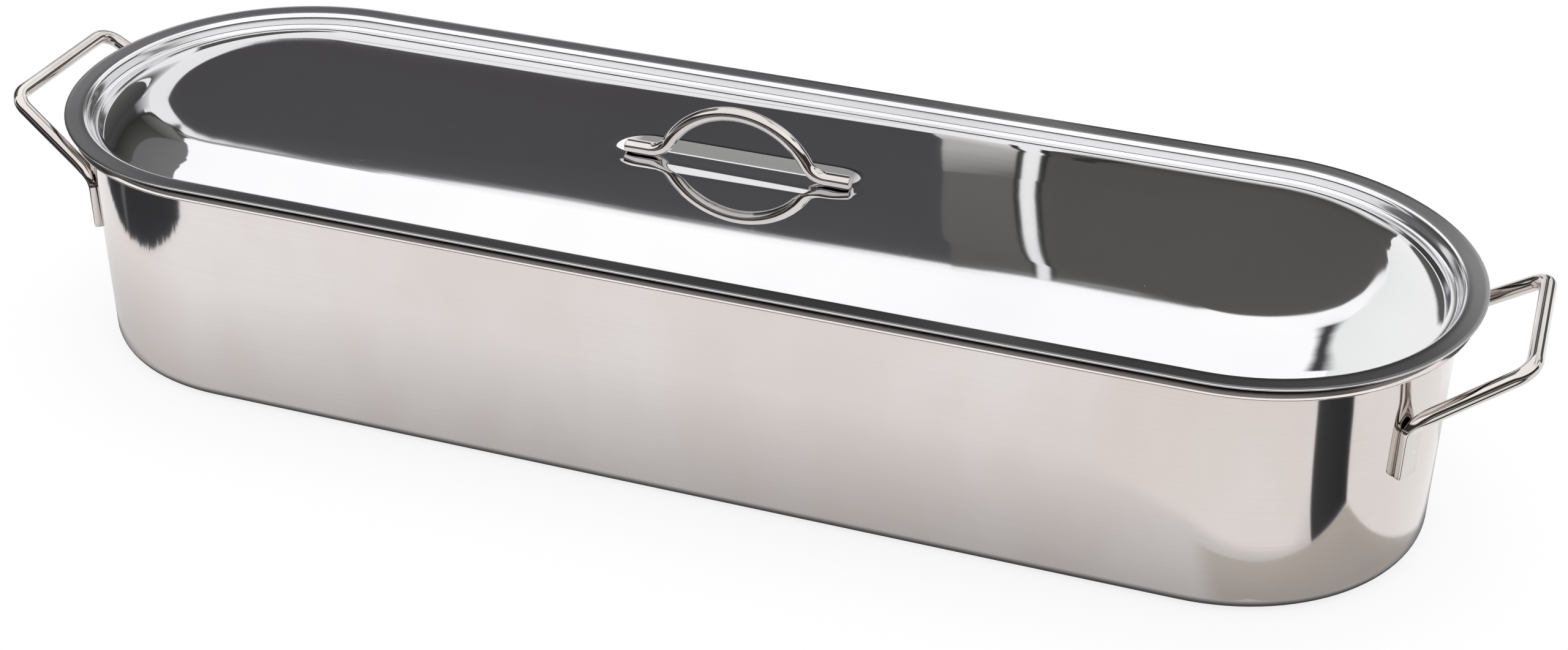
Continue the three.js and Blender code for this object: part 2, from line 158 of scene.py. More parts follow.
def rodMesh(name, path, towards, shape, endRound, sides=32):
    # A rod along a path. Its ring at each point is width * |cos|^(2/s) + depth * |sin|^(2/s) with their signs,
    # an ellipse at squareness s = 2. Each end is drawn in over a quarter round and closes at a pole.
    halfWidth, halfDepth, squareness = shape
    along = np.gradient(path, axis=0)
    along /= np.linalg.norm(along, axis=1)[:, None]
    width = towards - (towards * along).sum(1)[:, None] * along
    width /= np.linalg.norm(width, axis=1)[:, None]
    t = np.linspace(math.pi / 2, 0, 6)
    inset, drawn = endRound * (1 - np.sin(t))[:, None], endRound * (1 - np.cos(t))
    opening, closing = path[0] + along[0] * inset, (path[-1] - along[-1] * inset)[::-1]
    at = np.concatenate([path[:1], opening, path[1:-1], closing, path[-1:]])
    ends = np.zeros(len(t) + 1, int)
    pick = np.concatenate([ends, np.arange(1, len(path) - 1), ends + len(path) - 1])
    less = np.concatenate([[np.inf], drawn, np.zeros(len(path) - 2), drawn[::-1], [np.inf]])
    angle = 2 * math.pi * (np.arange(sides) + 0.5) / sides
    power = (2 / squareness[pick])[:, None]

    def spread(wave, half):
        return np.sign(wave) * np.abs(wave) ** power * np.maximum(half[pick] - less, 0)[:, None]

    across, deep = spread(np.cos(angle), halfWidth), spread(np.sin(angle), halfDepth)
    depth = np.cross(along, width)
    points = at[:, None] + width[pick][:, None] * across[..., None] + depth[pick][:, None] * deep[..., None]
    faces, uv = gridFaces(np.arange(sides + 1) / sides * plan["rodGirth"], travelled(at))
    return newMesh(name, points.reshape(-1, 3), faces, uv)


def flattened(path, rod, flat, flatLength, easeLength):
    # Half width, half depth and squareness along a path whose two ends are flat and whose middle is round.
    # Flat holds the ends' width, thickness and squareness.
    way = travelled(path)
    ease = eased((np.minimum(way, way[-1] - way) - flatLength) / easeLength)
    pairs = ((flat[0] / 2, rod / 2), (flat[1] / 2, rod / 2), (flat[2], 2.0))
    return [a + (b - a) * ease for a, b in pairs]


def addPiece(mesh, material, bodyName, slotName, *nodes):
    piece = bpy.data.objects.new(mesh.name, mesh)
    bpy.context.scene.collection.objects.link(piece)
    mesh.materials.append(material)
    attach(piece, bodyName)
    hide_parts(*nodes)


# Materials. A grower adds nodes to a tree and joins them in one call each.
class Grower:
    def __init__(self, tree):
        self.tree = tree

    def put(self, socket, value):
        if hasattr(value, "is_output"):
            self.tree.links.new(value, socket)
        else:
            socket.default_value = value

    def add(self, kind, inputs=None, output=0, **settings):
        # Gives one output of the new node, or all of them where output is None.
        node = self.tree.nodes.new(kind)
        for key, value in settings.items():
            setattr(node, key, value)
        for key, value in (inputs or {}).items():
            self.put(node.inputs[key], value)
        return node.outputs if output is None or not node.outputs else node.outputs[output]

    def math(self, operation, a, b=0.0, c=0.0, clamp=False):
        return self.add("ShaderNodeMath", {0: a, 1: b, 2: c}, operation=operation, use_clamp=clamp)

    def times(self, a, b):
        return self.math("MULTIPLY", a, b)

    def timesPlus(self, a, b, c, clamp=False):
        return self.math("MULTIPLY_ADD", a, b, c, clamp)

    def scaled(self, value, low, high, newLow=0.0, newHigh=1.0, kind="LINEAR"):
        limits = {0: value, 1: low, 2: high, 3: newLow, 4: newHigh}
        return self.add("ShaderNodeMapRange", limits, interpolation_type=kind)

    def blend(self, factor, a, b):
        return self.add("ShaderNodeMix", {0: factor, 6: a, 7: b}, output=2, data_type="RGBA")

    def stretched(self, vector, scale, turn=0.0):
        return self.add("ShaderNodeMapping", {"Vector": vector, "Scale": scale, "Rotation": (0, 0, turn)})

    def noise(self, vector, scale, detail=2.0, rough=0.5, output=0):
        inputs = {"Vector": vector, "Scale": scale, "Detail": detail, "Roughness": rough}
        return self.add("ShaderNodeTexNoise", inputs, output)

    def parts(self, vector):
        return self.add("ShaderNodeSeparateXYZ", {0: vector}, output=None)

    def object(self):
        return self.add("ShaderNodeTexCoord", output=3)

    def way(self):
        return self.add("ShaderNodeUVMap", uv_map="alongAndAcross")

    def bump(self, height):
        return self.add("ShaderNodeBump", {"Strength": 1.0, "Distance": 1.0, "Height": height})

    def band(self, value, start, full, fades, ends, kind="LINEAR"):
        # 1 between full and fades, and down to 0 at start and ends.
        rise, fall = self.scaled(value, start, full, kind=kind), self.scaled(value, ends, fades, kind=kind)
        return self.math("MULTIPLY", rise, fall)

    def fromLine(self, x, y, half):
        # The distance to a line along x, half long on either side: the root of max(|x| - half, 0)^2 + y^2.
        past = self.math("MAXIMUM", self.math("SUBTRACT", self.math("ABSOLUTE", x), half), 0.0)
        return self.math("SQRT", self.math("MULTIPLY_ADD", past, past, self.math("MULTIPLY", y, y)))


def colour(red, green, blue):
    # A colour given as it looks, 0 to 255, turned into the linear values that sockets hold.
    value = np.array([red, green, blue]) / 255
    return (*np.where(value > 0.04045, ((value + 0.055) / 1.055) ** 2.4, value / 12.92).tolist(), 1.0)


def newGroup(name, inputs, outputs):
    kinds = dict(value="NodeSocketFloat", colour="NodeSocketColor", vector="NodeSocketVector")
    tree = bpy.data.node_groups.new(name, "ShaderNodeTree")
    for label, kind, default in inputs:
        socket = tree.interface.new_socket(name=label, in_out="INPUT", socket_type=kinds[kind])
        if default is not None:
            socket.default_value = default
    for label, kind in outputs:
        tree.interface.new_socket(name=label, in_out="OUTPUT", socket_type=kinds[kind])
    grower = Grower(tree)
    return tree, grower, tree.nodes.new("NodeGroupInput").outputs, tree.nodes.new("NodeGroupOutput").inputs


# Fine lines left by the polishing belt: noise drawn out along the belt's way, in two widths, and scuffs
belt = dict(fine=(14.0, 5200.0, 1.0), broad=(6.0, 900.0, 1.0), scuffs=(40.0, 3000.0, 1.0), fineShare=0.6,
            scuffsBetween=(0.62, 0.75))
beltLines, g, take, give = newGroup(
    "beltLines",
    [("Vector", "vector", None), ("Turn", "value", 0.0), ("Fineness", "value", 1.0)],
    [("Lines", "value"), ("Scuffs", "value")])
turned = g.add("ShaderNodeVectorRotate", {"Vector": take[0], "Angle": take[1]}, rotation_type="Z_AXIS")
fine = g.noise(g.stretched(turned, belt["fine"]), take[2], 3.0, 0.65)
broad = g.noise(g.stretched(turned, belt["broad"]), take[2], 2.0, 0.5)
scuffs = g.noise(g.stretched(turned, belt["scuffs"]), take[2], 4.0, 0.7)
broad = g.times(broad, 1 - belt["fineShare"])
g.put(give[0], g.timesPlus(fine, belt["fineShare"], broad))
g.put(give[1], g.scaled(scuffs, *belt["scuffsBetween"]))

# Slow patches from one tone to another
sheetTones, g, take, give = newGroup(
    "sheetTones",
    [("Vector", "vector", None), ("Scale", "value", 12.0), ("Tone A", "colour", None),
     ("Tone B", "colour", None)],
    [("Colour", "colour"), ("Patches", "value")])
patches = g.scaled(g.noise(take[0], take[1], 3.0, 0.55), 0.34, 0.66, kind="SMOOTHSTEP")
g.put(give[0], g.blend(patches, take[2], take[3]))
g.put(give[1], patches)

# Masks of specks, in the middle of a share of the cells, and of hairlines, on the bent borders of long cells
mark = dict(speckBetween=(0.03, 0.016), hairBends=9.0, hairShape=(1.0, 6.0, 1.0), hairTurn=0.6, hairScale=7.0,
            hairWidth=0.006, breakScale=30.0, breakBetween=(0.52, 0.6))
fineMarks, g, take, give = newGroup(
    "fineMarks",
    [("Vector", "vector", None), ("Spacing", "value", 90.0), ("Share", "value", 0.12)],
    [("Specks", "value"), ("Scratches", "value")])
cells = g.add("ShaderNodeTexVoronoi", {"Vector": take[0], "Scale": take[1]}, output=None)
chosen = g.math("LESS_THAN", g.add("ShaderNodeSeparateColor", {0: cells["Color"]}), take[2])
g.put(give[0], g.times(g.scaled(cells["Distance"], *mark["speckBetween"]), chosen))
bends = g.noise(take[0], mark["hairBends"], output=1)
bent = g.add("ShaderNodeVectorMath", {0: take[0], 1: bends}, operation="ADD")
longCells = {"Vector": g.stretched(bent, mark["hairShape"], mark["hairTurn"]), "Scale": mark["hairScale"]}
hairs = g.add("ShaderNodeTexVoronoi", longCells, feature="DISTANCE_TO_EDGE")
broken = g.scaled(g.noise(take[0], mark["breakScale"], 1.0), *mark["breakBetween"])
g.put(give[1], g.times(g.scaled(hairs, mark["hairWidth"], 0.0), broken))


def cleared(owner):
    # A grower on the emptied node tree of a material or a world.
    owner.use_nodes = True
    owner.node_tree.nodes.clear()
    return Grower(owner.node_tree)


def place(g, group, **inputs):
    named = {key.replace("_", " "): value for key, value in inputs.items()}
    return g.add("ShaderNodeGroup", named, output=None, node_tree=group)


def steel(name, look):
    # What sheet and rod share: slow tones, the belt's lines, dust that isn't metal, and hairlines.
    material = bpy.data.materials.new(name)
    material.use_nodes = True
    g, shader = Grower(material.node_tree), material.node_tree.nodes["Principled BSDF"].inputs
    flat, spot = g.way(), g.object()
    tones = place(g, sheetTones, Vector=g.stretched(spot, look["patchShape"]), Scale=look["patchScale"],
                  Tone_A=look["toneA"], Tone_B=look["toneB"])
    lines = place(g, beltLines, Vector=flat, Turn=look["lineTurn"], Fineness=look["lineFineness"])
    marks = place(g, fineMarks, Vector=spot, Spacing=look["speckSpacing"], Share=look["speckShare"])
    g.put(shader["Metallic"], g.scaled(marks[0], 0.0, 1.0, 1.0, look["dustMetallic"]))
    tint = g.times(g.scaled(lines[0], *look["lineBetween"]), look["lineTint"])
    tinted = g.blend(tint, tones[0], look["lineTone"])
    return material, g, shader, flat, spot, tones, lines, marks, tinted


def sheetSteel(name, look):
    # Stainless sheet: belt lines in height and roughness, and slow waves. The numbers of satinBetween,
    # flangeBetween and grooveBetween are ways along the profile, in metres.
    material, g, shader, flat, spot, tones, lines, marks, tinted = steel(name, look)
    across = g.parts(flat)[1]
    rough = g.timesPlus(g.math("SUBTRACT", lines[0], 0.5), look["lineRoughness"], look["roughness"])
    rough = g.timesPlus(tones[1], look["patchRoughness"], rough)
    rough = g.timesPlus(g.math("ADD", marks[1], lines[1]), look["scuffRoughness"], rough)
    if "satinTone" in look:
        # The inside of the pan and the underside of the lid are satin.
        satin = g.scaled(across, *look["satinBetween"])
        tinted = g.blend(satin, tinted, look["satinTone"])
        rough = g.timesPlus(satin, look["satinRoughness"], rough)
    if "seatPaintedReflection" in look:
        # The flange and the groove are less polished. The flange also carries a painted dark reflection, darker
        # on its near side, and the far slope of the seat a painted grey reflection: the slope is found by its
        # distance to the seat's middle line, where y is above zero.
        x, y = g.parts(spot)[:2]
        flange = g.band(across, *look["flangeBetween"])
        nearer = g.scaled(y, *look["paintedDarkNearBetween"])
        # Painted dark reflection on the flange, darker on its near side.
        tinted = g.blend(flange, tinted, g.blend(nearer, look["flangePaintedDark"], look["flangeNearPaintedDark"]))
        rough = g.timesPlus(flange, look["flangeRoughness"], rough)
        groove = g.band(across, *look["grooveBetween"])
        rough = g.timesPlus(groove, look["grooveRoughness"], rough)
        slope = g.band(g.fromLine(x, y, look["seatHalf"]), *look["slopeBetween"], kind="SMOOTHSTEP")
        slope = g.times(slope, g.scaled(g.math("ABSOLUTE", x), *look["slopeEnds"]))
        slope = g.times(slope, g.scaled(y, *look["slopeSide"]))
        # A painted grey reflection on the seat's far slope.
        tinted = g.blend(slope, tinted, look["seatPaintedReflection"])
    g.put(shader["Roughness"], g.math("ADD", rough, 0.0, clamp=True))
    g.put(shader["Base Color"], g.blend(g.times(marks[0], 0.8), tinted, colour(205, 203, 200)))
    slow = g.noise(g.stretched(spot, look["waveShape"]), look["waveScale"], 1.0, 0.4)
    height = g.times(lines[0], look["lineHeight"])
    g.put(shader["Normal"], g.bump(g.timesPlus(slow, look["waveHeight"], height)))
    return material


sheetLook = dict(patchShape=(1.0, 1.0, 1.0), waveShape=(1.0, 1.0, 1.0), lineTurn=0.0, lineFineness=1.0,
                 lineBetween=(0.35, 0.65), dustMetallic=0.35)
panLook = dict(
    sheetLook, toneA=colour(224, 218, 216), toneB=colour(219, 211, 208), patchShape=(1.0, 1.0, 0.5),
    patchScale=16.0, lineTone=colour(199, 192, 190), lineTint=0.16, lineHeight=0.0000007,
    roughness=0.075, patchRoughness=0.012, lineRoughness=0.05, scuffRoughness=0.04,
    waveScale=9.0, waveHeight=0.00005, speckSpacing=70.0, speckShare=0.03,
    satinBetween=(0.1936, 0.1950), satinRoughness=0.24, satinTone=colour(170, 168, 167))
lidLook = dict(
    sheetLook, toneA=colour(232, 232, 233), toneB=colour(226, 226, 228), patchScale=7.0,
    lineTone=colour(214, 214, 216), lineTint=0.1, lineHeight=0.0000001,
    roughness=0.025, patchRoughness=0.006, lineRoughness=0.008, scuffRoughness=0.02,
    waveShape=(1.0, 1.6, 1.0), waveScale=7.0, waveHeight=0.00022, speckSpacing=80.0, speckShare=0.16,
    satinBetween=(0.0972, 0.0968), satinRoughness=0.36, satinTone=colour(150, 149, 149),
    flangeBetween=(0.0974, 0.0978, 0.1049, 0.1053), flangeRoughness=0.13,
    # The flange's tones are a painted dark reflection, darker on the near side.
    flangePaintedDark=colour(160, 158, 160), flangeNearPaintedDark=colour(112, 111, 112), paintedDarkNearBetween=(0.03, -0.05),
    grooveBetween=(0.1049, 0.1053, 0.1130, 0.1160), grooveRoughness=0.12,
    # The seat tone is a painted grey reflection.
    seatPaintedReflection=colour(129, 129, 127), seatHalf=0.04, slopeBetween=(0.0044, 0.0054, 0.0150, 0.0166),
    slopeEnds=(0.052, 0.046), slopeSide=(0.001, 0.004))
rackLook = dict(
    sheetLook, toneA=colour(196, 196, 197), toneB=colour(184, 183, 184), patchScale=14.0,
    lineTone=colour(160, 160, 161), lineTint=0.3, lineFineness=0.8, lineHeight=0.000002,
    roughness=0.27, patchRoughness=0.05, lineRoughness=0.1, scuffRoughness=0.1,
    waveScale=12.0, waveHeight=0.00003, speckSpacing=60.0, speckShare=0.05)
panSteel = sheetSteel("panSteel", panLook)
lidSteel = sheetSteel("lidSteel", lidLook)
rackSteel = sheetSteel("rackSteel", rackLook)


def wireSteel(name, look):
    # Drawn and tumbled rod: faint drawing lines along it, small dents, and a spot weld mark on each flat tab.
    material, g, shader, flat, spot, tones, lines, marks, tinted = steel(name, look)
    g.put(shader["Base Color"], tinted)
    uneven = g.math("ADD", marks[1], tones[1])
    rough = g.timesPlus(uneven, look["scuffRoughness"], look["roughness"], clamp=True)
    g.put(shader["Roughness"], rough)
    height = g.times(lines[0], look["lineHeight"])
    height = g.timesPlus(g.noise(spot, look["dentScale"], 2.0), look["dentHeight"], height)
    if "weldAt" in look:
        mirrored = g.add("ShaderNodeVectorMath", {0: spot}, operation="ABSOLUTE")
        away = g.add("ShaderNodeVectorMath", {0: mirrored, 1: look["weldAt"]}, output=1, operation="DISTANCE")
        inside = g.math("LESS_THAN", away, 2 * look["weldRadius"])
        ridge = g.times(g.math("PINGPONG", away, look["weldRadius"]), inside)
        height = g.timesPlus(ridge, -look["weldDepth"], height)
    g.put(shader["Normal"], g.bump(height))
    return material


wireLook = dict(
    sheetLook, lineTurn=math.pi / 2, lineBetween=(0.4, 0.7), toneA=colour(222, 218, 214),
    toneB=colour(206, 200, 197), patchScale=26.0,
    lineTone=colour(186, 180, 177), lineTint=0.25, lineFineness=0.6, lineHeight=0.0000004,
    roughness=0.06, scuffRoughness=0.04, dentScale=240.0, dentHeight=0.000003,
    speckSpacing=160.0, speckShare=0.1, dustMetallic=0.6)
tabLook = dict(wireLook, weldAt=(0.2832, 0.0420, 0.060), weldRadius=0.0011, weldDepth=0.25)
wire = wireSteel("wireSteel", wireLook)
tabWire = wireSteel("tabbedWireSteel", tabLook)
print("materials ready")

# Pan: floor, wall, a small mouth bend and a rim whose outer edge rolls down
pan = dict(sheet=0.8, width=166.0, draft=0.5, height=102.2, baseBend=5.0, mouthBend=2.6,
           rimReach=7.0, rollRun=2.2, rollDrop=1.9, rollBend=3.0, longestStep=12.0)
pan["mouth"] = (pan["width"] - pan["sheet"]) / 2
pan["rimLevel"] = pan["height"] - pan["sheet"] / 2
pan["rim"] = pan["width"] / 2 + pan["rimReach"] - pan["sheet"] / 2
panLine = lineThrough([
    (0, pan["sheet"] / 2, 0, 0),
    (pan["mouth"] - pan["draft"], pan["sheet"] / 2, pan["baseBend"], 12),
    (pan["mouth"], pan["rimLevel"], pan["mouthBend"], 10),
    (pan["rim"] - pan["rollRun"], pan["rimLevel"], pan["rollBend"], 8),
    (pan["rim"], pan["rimLevel"] - pan["rollDrop"], 0, 0)])
panProfile = sheetProfile(evenly(panLine, pan["longestStep"]), pan["sheet"])
points, faces, uv = obroundGrid(panProfile, plan["length"])
addPiece(newMesh("panShell", points, faces, uv), panSteel, "pan", "pan_steel", "pan_shell")

# Lid: flange, groove that sits in the mouth, broad crown, and a shallow seat pressed for the handle
lid = dict(sheet=0.8, overhang=2.0, flangeLift=3.0, flangeBend=1.8, flangeRise=0.25,
           grooveSlope=75.0, grooveDepth=5.6, grooveFloor=3.3, grooveBend=2.4,
           crownRise=2.5, shoulderRun=12.0, shoulderBend=44.0, dome=0.5, domeRadius=50.0, longestStep=2.0,
           seatFloor=12.0, seatSlope=9.5, seatWindow=0.16, seatDepth=0.7, seatPressed=0.9, seatLean=0.026,
           seatLength=80.0, growGap=1.6, growEnd=46.0,
           nearPull=0.18, nearPullEase=3.0, nearPullStart=13.0, nearPullEnd=24.0)
lid["edge"] = pan["width"] / 2 + pan["rimReach"] + lid["overhang"]
lid["flange"] = pan["height"] + lid["flangeLift"] + lid["sheet"] / 2
lid["crown"] = lid["flange"] + lid["crownRise"]
lid["groove"] = lid["flange"] - lid["grooveDepth"]
# The groove's wall leans against the pan's mouth bend, standOff away from the bend's centre.
lean = math.radians(lid["grooveSlope"])
standOff = pan["mouthBend"] + pan["sheet"] / 2 + plan["seatGap"] + lid["sheet"] / 2
touch = (pan["mouth"] + pan["mouthBend"] - standOff * math.sin(lean),
         pan["rimLevel"] - pan["mouthBend"] + standOff * math.cos(lean))


def wallAt(level):
    # The radius of the groove's wall at a height.
    return touch[0] + (level - touch[1]) / math.tan(lean)


floorEdge = wallAt(lid["groove"]) - lid["grooveFloor"]
shoulder = floorEdge - lid["shoulderRun"]
# The crown is slightly domed: it falls by dome * (r / domeRadius)^2 and goes on at the slope it has there.
lidLine = lineThrough([
    *((r, lid["crown"] - lid["dome"] * (r / lid["domeRadius"]) ** 2, 0, 0)
      for r in np.linspace(0, lid["domeRadius"], 11)),
    (shoulder, lid["crown"] - lid["dome"] * (2 * shoulder / lid["domeRadius"] - 1), lid["shoulderBend"], 26),
    (floorEdge, lid["groove"], lid["grooveBend"], 8),
    (wallAt(lid["groove"]), lid["groove"], lid["grooveBend"], 8),
    (wallAt(lid["flange"]), lid["flange"], lid["flangeBend"], 12),
    (lid["edge"], lid["flange"] + lid["flangeRise"], 0, 0)])
lidProfile = sheetProfile(evenly(lidLine, lid["longestStep"]), lid["sheet"])


def rampArea(t):
    # The area under a ramp that rises from 0 to 1 between t = 0 and t = 1.
    return np.clip(t, 0, 1) ** 2 / 2 + np.maximum(t - 1, 0)


# The seat sinks the crown by pressed * (1 - ramp). The ramp is averaged over a short window, which rounds its
# bends: (area(t + w) - area(t - w)) / (2 w). Beyond it the outline's middle line grows to the lid's own.
r = lidProfile[:, 0]
seatEdge = lid["seatFloor"] / 2 + lid["seatSlope"]
t, w = (r - lid["seatFloor"] / 2) / lid["seatSlope"], lid["seatWindow"]
sunken = 1 - (rampArea(t + w) - rampArea(t - w)) / (2 * w)
lidProfile[:, 1] -= lid["seatPressed"] * sunken
grown = eased((r - seatEdge - lid["growGap"]) / (lid["growEnd"] - seatEdge))
points, faces, uv = obroundGrid(lidProfile, lid["seatLength"] + (plan["length"] - lid["seatLength"]) * grown)
# The seat leans a little, and its near half is drawn in towards its middle line: y * (1 - pull).
everyR, everySunken = (np.repeat(values, len(points) // len(r)) for values in (r, sunken))
fade = eased((everyR - lid["nearPullStart"]) / (lid["nearPullEnd"] - lid["nearPullStart"]))
points[:, 1] *= 1 - lid["nearPull"] * (1 - fade) * np.clip(-points[:, 1] / lid["nearPullEase"], 0, 1)
points[:, 2] += lid["seatLean"] * points[:, 1] * everySunken
addPiece(newMesh("lidShell", points, faces, uv), lidSteel, "lid", "lid_steel", "lid_shell")

# Lid handle: foot, small reverse bend, half of the arch, and the mirror image
arch = dict(rod=5.6, length=97.0, rise=22.0, radius=34.0, footBend=10.0, footFlat=0.8, footWiden=1.15,
            footSquareness=3.0, flatShare=0.7, easeShare=0.6, endRound=0.5)
footThickness = arch["rod"] * arch["footFlat"]
footLevel = lid["crown"] + lid["sheet"] / 2 - lid["seatDepth"] + plan["seatGap"] + footThickness / 2
archCentre = footLevel + arch["rise"] - arch["radius"]
joined = arch["radius"] + arch["footBend"]
bendAt = math.sqrt(joined ** 2 - (footLevel + arch["footBend"] - archCentre) ** 2)
leanOut = math.asin(bendAt / joined)
a, b = np.linspace(0, leanOut, 14), np.linspace(leanOut, 0, 40)
footX = np.linspace(-arch["length"] / 2, -bendAt, 16)
half = np.concatenate([
    np.stack([footX, np.full(len(footX), footLevel)], 1)[:-1],
    np.stack([-bendAt + arch["footBend"] * np.sin(a), footLevel + arch["footBend"] * (1 - np.cos(a))], 1)[:-1],
    np.stack([-arch["radius"] * np.sin(b), archCentre + arch["radius"] * np.cos(b)], 1)])
path = np.stack([half[:, 0], half[:, 0] * 0, half[:, 1]], 1)
path = np.concatenate([path, path[-2::-1] * (-1, 1, 1)])
footLength = arch["length"] / 2 - arch["radius"]
foot = (arch["rod"] * arch["footWiden"], footThickness, arch["footSquareness"])
shape = flattened(path, arch["rod"], foot, footLength * arch["flatShare"], footLength * arch["easeShare"])
mesh = rodMesh("lidHandle", path, np.array([[0, 1.0, 0]]), shape, arch["endRound"])
addPiece(mesh, wire, "lid", "wire_steel", "lid_handle")


bothEnds = (("Right", 1), ("Left", -1))


def bothHalves(half, endSide):
    # Half a handle, from its foot to y = 0, and its mirror image. For the left end it is turned half round.
    return np.concatenate([half, half[-2::-1] * (1, -1, 1)]) * (endSide, endSide, 1)


# End handles: a flat tab on the round end wall, a bend, a leg leaning out to the bar, and the mirror image
grip = dict(rod=6.3, tabSpacing=82.0, tabWidth=11.0, tabThickness=3.2, tabLength=23.0, tabDrop=28.2,
            tabBend=8.0, tabSquareness=5.0, flatShare=0.78, easeShare=0.5, standOff=20.0, drop=0.6,
            barLength=71.0, barBend=8.0, longestStep=2.0, endRound=0.8,
            pressedFrom=1.5, pressedReach=1.0, pressedGap=0.1)
wallRadius = pan["width"] / 2
wallTurn = math.asin(grip["tabSpacing"] / 2 / wallRadius)
stand = wallRadius + plan["seatGap"] + grip["tabThickness"] / 2
tabX, tabY = plan["length"] / 2 + stand * math.cos(wallTurn), -stand * math.sin(wallTurn)
tabTop, barZ = pan["height"] - grip["tabDrop"], pan["height"] - grip["drop"]
barX = plan["length"] / 2 + lid["edge"] + grip["standOff"]
half = evenly(lineThrough([
    (tabX, tabY, tabTop - grip["tabLength"], 0, 0),
    (tabX, tabY, tabTop, grip["tabBend"], 14),
    (barX, -grip["barLength"] / 2, barZ, grip["barBend"], 16),
    (barX, 0, barZ, 0, 0)]), grip["longestStep"])
tab = (grip["tabWidth"], grip["tabThickness"], grip["tabSquareness"])
tabFlat, tabEase = grip["tabLength"] * grip["flatShare"], grip["tabLength"] * grip["easeShare"]
for end, endSide in bothEnds:
    path = bothHalves(half, endSide)
    mirror = np.where(path[:, 1:2] * endSide < 0, 1, (1, -1, 1)) * (endSide, endSide, 1)
    towards = np.array([math.sin(wallTurn), math.cos(wallTurn), 0]) * mirror
    shape = flattened(path, grip["rod"], tab, tabFlat, tabEase)
    mesh = rodMesh(f"endHandle{end}", path, towards, shape, grip["endRound"])
    # The tab's inner face is pressed onto the leaning wall: points close to it move in along its radius.
    spots = np.empty(len(mesh.vertices) * 3)
    mesh.vertices.foreach_get("co", spots)
    spots = spots.reshape(-1, 3) / mm
    axis = np.array([[endSide * plan["length"] / 2, 0]])
    fromAxis = spots[:, :2] - axis
    away = np.hypot(fromAxis[:, 0], fromAxis[:, 1])
    wall = wallRadius - pan["draft"] * (1 - spots[:, 2] / pan["height"])
    pressed = spots[:, 2] < tabTop - grip["pressedFrom"]
    pressed &= away < wallRadius + plan["seatGap"] + grip["pressedReach"]
    fromAxis[pressed] *= ((wall + grip["pressedGap"]) / away)[pressed, None]
    spots[:, :2] = fromAxis + axis
    mesh.vertices.foreach_set("co", (spots * mm).ravel())
    mesh.update()
    addPiece(mesh, tabWire, "pan", "wire_steel", f"end_handle_{end.lower()}")

# Rack: a level plate with rows of round holes, an edge turned down, two handles and their rivets
rack = dict(sheet=0.8, clearance=8.0, height=11.0, edgeBend=2.5, edgeFlat=2.0, longestStep=3.0,
            hole=10.0, holeSides=28, holePitch=26.0, rowPitch=22.0, rows=5, columns=25, holeMargin=9.0,
            holeLip=0.35, lipFlat=0.4, footMargin=1.0,
            rod=4.4, handleInset=58.0, handleWidth=60.0, handleDrop=7.2, handleBend=9.0, handleStep=2.0,
            footLength=15.0, footWidth=9.0, footThickness=2.0, footBend=4.0, footSquareness=5.0,
            footWay=(0.25, 1.0, 0), endRound=0.5, sides=24)
rackWidth = pan["width"] - 2 * rack["clearance"]
rackFoot = pan["sheet"] + plan["seatGap"]
rackTop = rackFoot + rack["height"]
legX, legY = (plan["length"] + rackWidth) / 2 - rack["handleInset"], rack["handleWidth"] / 2
row, column = np.divmod(np.arange(rack["rows"] * rack["columns"]), rack["columns"])
holeY = (row - (rack["rows"] - 1) / 2) * rack["rowPitch"]
holeX = (column - rack["columns"] // 2) * rack["holePitch"] + (row % 2) * rack["holePitch"] / 2
keepOff = (rack["hole"] + rack["footWidth"]) / 2 + rack["footMargin"]
holeReach = rackWidth / 2 - rack["edgeBend"] - rack["holeMargin"] - rack["hole"] / 2
underFoot = np.abs(np.abs(holeX) - legX - rack["footLength"] / 2) < rack["footLength"] / 2 + keepOff
underFoot &= np.abs(np.abs(holeY) - legY) < keepOff
kept = (np.hypot(np.maximum(0, np.abs(holeX) - plan["length"] / 2), holeY) <= holeReach) & ~underFoot
holeX, holeY = holeX[kept], holeY[kept]

# The plate's level faces are triangles between the outline and the rings round the holes, and each hole has
# a lip: a profile from the upper face over a rounded edge down to the lower face.
plateRadius = (rackWidth - rack["sheet"]) / 2
plateLevel = rackTop - rack["sheet"] / 2
plateLine = lineThrough([
    (plateRadius - rack["edgeBend"] - rack["edgeFlat"], plateLevel, 0, 0),
    (plateRadius, plateLevel, rack["edgeBend"], 8),
    (plateRadius, rackFoot, 0, 0)])
edgeProfile = sheetProfile(evenly(plateLine, rack["longestStep"]), rack["sheet"])
points, faces, uv = obroundGrid(edgeProfile, plan["length"])
lip, edgeRound = rack["hole"] / 2, rack["holeLip"]
lipReach = lip + edgeRound + rack["lipFlat"]
t = np.linspace(0, math.pi / 2, 4)
upper = np.stack([lip + edgeRound * (1 - np.sin(t)), rackTop - edgeRound * (1 - np.cos(t))], 1)
lower = (upper * (1, -1) + (0, 2 * rackTop - rack["sheet"]))[::-1]
lipProfile = np.concatenate([[(lipReach, rackTop)], upper, lower, [(lipReach, rackTop - rack["sheet"])]])
lipPoints, lipFaces = turnedGrid(lipProfile, rack["holeSides"])[:2]
centres = np.stack([holeX, holeY, holeX * 0], 1)
allLips = (centres[:, None] + lipPoints).reshape(-1, 3)
allLipFaces = (np.arange(len(holeX))[:, None, None] * len(lipPoints) + lipFaces).reshape(-1, 4)


def loopEdges(starts, count):
    # The edges of closed loops of so many points, from the number of each loop's first point.
    k = np.arange(count)
    return (np.reshape(starts, (-1, 1, 1)) + np.stack([k, (k + 1) % count], -1)).reshape(-1, 2)


